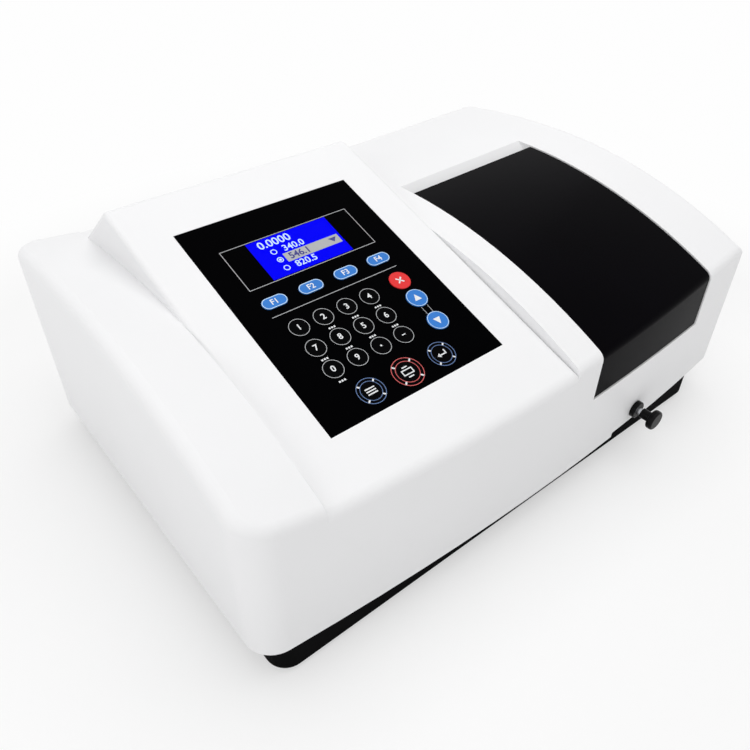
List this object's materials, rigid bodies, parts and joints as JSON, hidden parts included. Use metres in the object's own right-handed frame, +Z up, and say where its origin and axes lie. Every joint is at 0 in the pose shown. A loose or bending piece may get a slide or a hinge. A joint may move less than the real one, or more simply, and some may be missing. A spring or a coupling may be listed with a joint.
{
  "type": "spectrophotometer",
  "caption": "Benchtop spectrophotometer: white case, sloping keypad console with display, dark arched sample lid, cell carriage on a pull rod, optics and electronics inside",
  "frame": {"origin": "at floor level, in the middle of the outline of the case and pull knob", "axes": "+X to the instrument's right as the user faces it, +Y from front to back, +Z up"},
  "size_m": [0.476, 0.3504, 0.2093],
  "materials": {
    "body_white": "light texture",
    "tray_black": "semi-matt",
    "rubber_black": "matt",
    "lid_black": "gloss",
    "overlay_black": "satin film",
    "key_black": "satin film",
    "key_blue": "satin film",
    "key_red": "satin film",
    "pane": "gloss",
    "board_green": "satin",
    "steel": "brushed",
    "zinc_sheet": "semi-matt",
    "anodised_black": "anodised",
    "aluminium": "machined",
    "mirror": "polished",
    "lamp_glass": "clear",
    "black_plastic": "satin"
  },
  "bodies": {
    "body": {"base_tray": "tray_black", "collimating_mirrors": "mirror", "cover_screws": "steel", "data_ports": "steel", "detector_housing": "anodised_black", "deuterium_lamp": "lamp_glass", "display_window": "pane", "fan_frame": "black_plastic", "guide_rails": "steel", "hinge_brackets": "aluminium", "keypad_board": "board_green", "keypad_overlay": "overlay_black", "lamp_house": "zinc_sheet", "lcd_module": "black_plastic", "lid_hinge_pin": "steel", "main_board": "board_green", "mains_inlet": "black_plastic", "monochromator_housing": "anodised_black", "optical_bench": "aluminium", "photodiode": "black_plastic", "power_supply": "zinc_sheet", "rear_panel": "zinc_sheet", "rod_gland": "black_plastic", "rubber_feet": "rubber_black", "sample_tub": "anodised_black", "slit_plates": "steel", "stepper_motors": "zinc_sheet", "top_cover": "body_white", "tungsten_lamp": "lamp_glass"},
    "lid": {"sample_lid": "lid_black"},
    "carriage": {"cuvette_carriage": "anodised_black", "pull_rod": "steel", "pull_knob": "black_plastic"},
    "fan": {"fan_rotor": "black_plastic"},
    "grating": {"grating_turntable": "aluminium"},
    "filters": {"filter_wheel": "aluminium"},
    "lamp_selector": {"source_mirror": "mirror"},
    "rocker": {"rocker_switch": "black_plastic"},
    "key_number_11": {"key_number_11": "key_black"},
    "key_number_12": {"key_number_12": "key_black"},
    "key_number_13": {"key_number_13": "key_black"},
    "key_number_14": {"key_number_14": "key_black"},
    "key_number_21": {"key_number_21": "key_black"},
    "key_number_22": {"key_number_22": "key_black"},
    "key_number_23": {"key_number_23": "key_black"},
    "key_number_24": {"key_number_24": "key_black"},
    "key_number_31": {"key_number_31": "key_black"},
    "key_number_32": {"key_number_32": "key_black"},
    "key_number_33": {"key_number_33": "key_black"},
    "key_number_34": {"key_number_34": "key_black"},
    "key_escape": {"key_escape": "key_red"},
    "key_up": {"key_up": "key_blue"},
    "key_down": {"key_down": "key_blue"},
    "key_ring_left": {"key_ring_left": "key_black"},
    "key_ring_middle": {"key_ring_middle": "key_black"},
    "key_ring_right": {"key_ring_right": "key_black"},
    "key_soft_1": {"key_soft_1": "key_blue"},
    "key_soft_2": {"key_soft_2": "key_blue"},
    "key_soft_3": {"key_soft_3": "key_blue"},
    "key_soft_4": {"key_soft_4": "key_blue"}
  },
  "joints": [
    {"name": "lid_hinge", "type": "hinge", "parent": "body", "child": "lid", "pos_m": [0.1125, 0.03975, 0.17208], "axis": [-0.9996, 0, -0.027], "range_deg": [0, 70]},
    {"name": "carriage_slide", "type": "slide", "parent": "body", "child": "carriage", "axis": [0, -1, 0], "range_m": [0, 0.054]},
    {"name": "fan_spin", "type": "hinge", "parent": "body", "child": "fan", "pos_m": [-0.112, 0.16325, 0.084], "axis": [0, 1, 0], "continuous": true},
    {"name": "grating_turn", "type": "hinge", "parent": "body", "child": "grating", "pos_m": [-0.03, 0.00725, 0.0565], "axis": [0, 0, 1], "range_deg": [-15, 15]},
    {"name": "filter_turn", "type": "hinge", "parent": "body", "child": "filters", "pos_m": [-0.062, 0.09793, 0.064], "axis": [1, 0, 0], "continuous": true},
    {"name": "lamp_selector_turn", "type": "hinge", "parent": "body", "child": "lamp_selector", "pos_m": [-0.122, 0.07725, 0.0565], "axis": [0, 0, 1], "range_deg": [0, 50]},
    {"name": "rocker_tip", "type": "hinge", "parent": "body", "child": "rocker", "pos_m": [-0.188, 0.17125, 0.092], "axis": [-1, 0, 0], "range_deg": [0, 24]},
    {"name": "key_number_11_press", "type": "slide", "parent": "body", "child": "key_number_11", "axis": [0, 0.3049, -0.9524], "range_m": [0, 0.0005], "stiffness_N_per_m": 350, "springref_m": -0.0003},
    {"name": "key_number_12_press", "type": "slide", "parent": "body", "child": "key_number_12", "axis": [0, 0.3049, -0.9524], "range_m": [0, 0.0005], "stiffness_N_per_m": 350, "springref_m": -0.0003},
    {"name": "key_number_13_press", "type": "slide", "parent": "body", "child": "key_number_13", "axis": [0, 0.3049, -0.9524], "range_m": [0, 0.0005], "stiffness_N_per_m": 350, "springref_m": -0.0003},
    {"name": "key_number_14_press", "type": "slide", "parent": "body", "child": "key_number_14", "axis": [0, 0.3049, -0.9524], "range_m": [0, 0.0005], "stiffness_N_per_m": 350, "springref_m": -0.0003},
    {"name": "key_number_21_press", "type": "slide", "parent": "body", "child": "key_number_21", "axis": [0, 0.3049, -0.9524], "range_m": [0, 0.0005], "stiffness_N_per_m": 350, "springref_m": -0.0003},
    {"name": "key_number_22_press", "type": "slide", "parent": "body", "child": "key_number_22", "axis": [0, 0.3049, -0.9524], "range_m": [0, 0.0005], "stiffness_N_per_m": 350, "springref_m": -0.0003},
    {"name": "key_number_23_press", "type": "slide", "parent": "body", "child": "key_number_23", "axis": [0, 0.3049, -0.9524], "range_m": [0, 0.0005], "stiffness_N_per_m": 350, "springref_m": -0.0003},
    {"name": "key_number_24_press", "type": "slide", "parent": "body", "child": "key_number_24", "axis": [0, 0.3049, -0.9524], "range_m": [0, 0.0005], "stiffness_N_per_m": 350, "springref_m": -0.0003},
    {"name": "key_number_31_press", "type": "slide", "parent": "body", "child": "key_number_31", "axis": [0, 0.3049, -0.9524], "range_m": [0, 0.0005], "stiffness_N_per_m": 350, "springref_m": -0.0003},
    {"name": "key_number_32_press", "type": "slide", "parent": "body", "child": "key_number_32", "axis": [0, 0.3049, -0.9524], "range_m": [0, 0.0005], "stiffness_N_per_m": 350, "springref_m": -0.0003},
    {"name": "key_number_33_press", "type": "slide", "parent": "body", "child": "key_number_33", "axis": [0, 0.3049, -0.9524], "range_m": [0, 0.0005], "stiffness_N_per_m": 350, "springref_m": -0.0003},
    {"name": "key_number_34_press", "type": "slide", "parent": "body", "child": "key_number_34", "axis": [0, 0.3049, -0.9524], "range_m": [0, 0.0005], "stiffness_N_per_m": 350, "springref_m": -0.0003},
    {"name": "key_escape_press", "type": "slide", "parent": "body", "child": "key_escape", "axis": [0, 0.3049, -0.9524], "range_m": [0, 0.0005], "stiffness_N_per_m": 350, "springref_m": -0.0003},
    {"name": "key_up_press", "type": "slide", "parent": "body", "child": "key_up", "axis": [0, 0.3049, -0.9524], "range_m": [0, 0.0005], "stiffness_N_per_m": 350, "springref_m": -0.0003},
    {"name": "key_down_press", "type": "slide", "parent": "body", "child": "key_down", "axis": [0, 0.3049, -0.9524], "range_m": [0, 0.0005], "stiffness_N_per_m": 350, "springref_m": -0.0003},
    {"name": "key_ring_left_press", "type": "slide", "parent": "body", "child": "key_ring_left", "axis": [0, 0.3049, -0.9524], "range_m": [0, 0.0005], "stiffness_N_per_m": 350, "springref_m": -0.0003},
    {"name": "key_ring_middle_press", "type": "slide", "parent": "body", "child": "key_ring_middle", "axis": [0, 0.3049, -0.9524], "range_m": [0, 0.0005], "stiffness_N_per_m": 350, "springref_m": -0.0003},
    {"name": "key_ring_right_press", "type": "slide", "parent": "body", "child": "key_ring_right", "axis": [0, 0.3049, -0.9524], "range_m": [0, 0.0005], "stiffness_N_per_m": 350, "springref_m": -0.0003},
    {"name": "key_soft_1_press", "type": "slide", "parent": "body", "child": "key_soft_1", "axis": [0, 0.3049, -0.9524], "range_m": [0, 0.0005], "stiffness_N_per_m": 350, "springref_m": -0.0003},
    {"name": "key_soft_2_press", "type": "slide", "parent": "body", "child": "key_soft_2", "axis": [0, 0.3049, -0.9524], "range_m": [0, 0.0005], "stiffness_N_per_m": 350, "springref_m": -0.0003},
    {"name": "key_soft_3_press", "type": "slide", "parent": "body", "child": "key_soft_3", "axis": [0, 0.3049, -0.9524], "range_m": [0, 0.0005], "stiffness_N_per_m": 350, "springref_m": -0.0003},
    {"name": "key_soft_4_press", "type": "slide", "parent": "body", "child": "key_soft_4", "axis": [0, 0.3049, -0.9524], "range_m": [0, 0.0005], "stiffness_N_per_m": 350, "springref_m": -0.0003}
  ]
}
